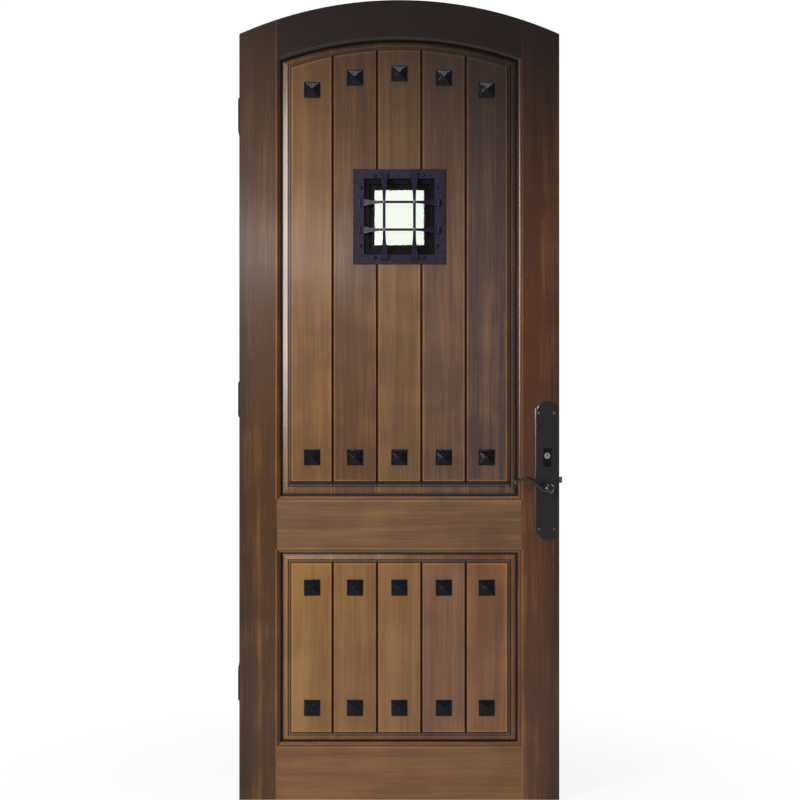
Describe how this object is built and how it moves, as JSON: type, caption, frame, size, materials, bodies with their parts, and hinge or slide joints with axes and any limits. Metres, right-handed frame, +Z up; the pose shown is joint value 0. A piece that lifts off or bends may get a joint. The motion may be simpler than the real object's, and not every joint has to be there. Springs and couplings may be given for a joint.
{
  "type": "arched wooden door",
  "caption": "Arched stile-and-rail wooden door with raised plank panels, pyramid-head nails, a barred glazed lookout, lever lock and butt hinges.",
  "frame": {"origin": "middle of the bottom edge, halfway through the leaf's thickness", "axes": "+X towards the lock edge, -Y outdoors, +Z up"},
  "size_m": [0.9332, 0.1544, 2.286],
  "materials": {
    "frame_wood": "dark stained and rubbed back",
    "plank_wood": "dark stained and rubbed back",
    "dowel_wood": "bare hardwood",
    "forged_iron": "blackened, hammered",
    "dark_metal": "dark bronze patina",
    "nickel": "satin nickel plate",
    "lock_steel": "plain steel",
    "hinge_steel": "black oxide",
    "brass_screw": "aged brass",
    "black_rubber": "matt",
    "clear_glass": "clear float glass"
  },
  "bodies": {
    "jamb_hinges": {"top_hinge_jamb_leaf": "hinge_steel", "top_hinge_pin": "hinge_steel", "middle_hinge_jamb_leaf": "hinge_steel", "middle_hinge_pin": "hinge_steel", "bottom_hinge_jamb_leaf": "hinge_steel", "bottom_hinge_pin": "hinge_steel"},
    "door_leaf": {"hinge_stile": "frame_wood", "lock_stile": "frame_wood", "arched_top_rail": "frame_wood", "lock_rail": "frame_wood", "bottom_rail": "frame_wood", "upper_plank_1": "plank_wood", "upper_plank_2": "plank_wood", "upper_plank_3_above": "plank_wood", "upper_plank_3_below": "plank_wood", "upper_plank_4": "plank_wood", "upper_plank_5": "plank_wood", "lower_plank_1": "plank_wood", "lower_plank_2": "plank_wood", "lower_plank_3": "plank_wood", "lower_plank_4": "plank_wood", "lower_plank_5": "plank_wood", "frame_dowels": "dowel_wood", "upper_clavos": "forged_iron", "lower_clavos": "forged_iron", "grille_flange": "forged_iron", "grille_bar_left": "forged_iron", "grille_bar_right": "forged_iron", "grille_bar_lower": "forged_iron", "grille_bar_upper": "forged_iron", "grille_rivets": "forged_iron", "grille_nails": "forged_iron", "glazing_frame": "forged_iron", "inside_trim": "forged_iron", "inside_trim_screws": "forged_iron", "glass_pane": "clear_glass", "glass_gasket": "black_rubber", "outside_plate": "dark_metal", "inside_plate": "dark_metal", "cylinder_pads": "dark_metal", "key_cylinder": "nickel", "lock_case": "lock_steel", "faceplate": "lock_steel", "faceplate_screws": "lock_steel", "hinge_screws": "lock_steel", "outside_plate_screws": "brass_screw", "inside_plate_screws": "brass_screw", "top_hinge_door_leaf": "hinge_steel", "middle_hinge_door_leaf": "hinge_steel", "bottom_hinge_door_leaf": "hinge_steel"},
    "lever_set": {"outside_lever": "dark_metal", "inside_lever": "dark_metal", "spindle": "lock_steel", "lock_follower": "lock_steel"},
    "latch": {"latch_bolt": "lock_steel"},
    "cylinder_core": {"cylinder_plug": "nickel", "cylinder_cam": "lock_steel", "thumb_turn": "dark_metal"},
    "dead_bolt": {"deadbolt": "lock_steel"}
  },
  "joints": [
    {"name": "door_swing", "type": "hinge", "parent": "jamb_hinges", "child": "door_leaf", "pos_m": [-0.4582, 0.02973, 0], "axis": [0, 0, 1], "range_deg": [0, 110]},
    {"name": "lever_turn", "type": "hinge", "parent": "door_leaf", "child": "lever_set", "pos_m": [0.4222, 0, 0.892], "axis": [0, -1, 0], "range_deg": [0, 40], "stiffness_Nm_per_rad": 1.5, "springref_deg": -11.46},
    {"name": "latch_slide", "type": "slide", "parent": "door_leaf", "child": "latch", "axis": [-1, 0, 0], "range_m": [0, 0.012]},
    {"name": "key_turn", "type": "hinge", "parent": "door_leaf", "child": "cylinder_core", "pos_m": [0.4222, 0, 0.984], "axis": [0, 1, 0], "range_deg": [0, 90]},
    {"name": "deadbolt_slide", "type": "slide", "parent": "door_leaf", "child": "dead_bolt", "axis": [1, 0, 0], "range_m": [0, 0.02]}
  ],
  "couplings": [
    {"joint": "latch_slide", "follows": "lever_turn", "m_per_rad": 0.01718},
    {"joint": "deadbolt_slide", "follows": "key_turn", "m_per_rad": 0.01273}
  ]
}
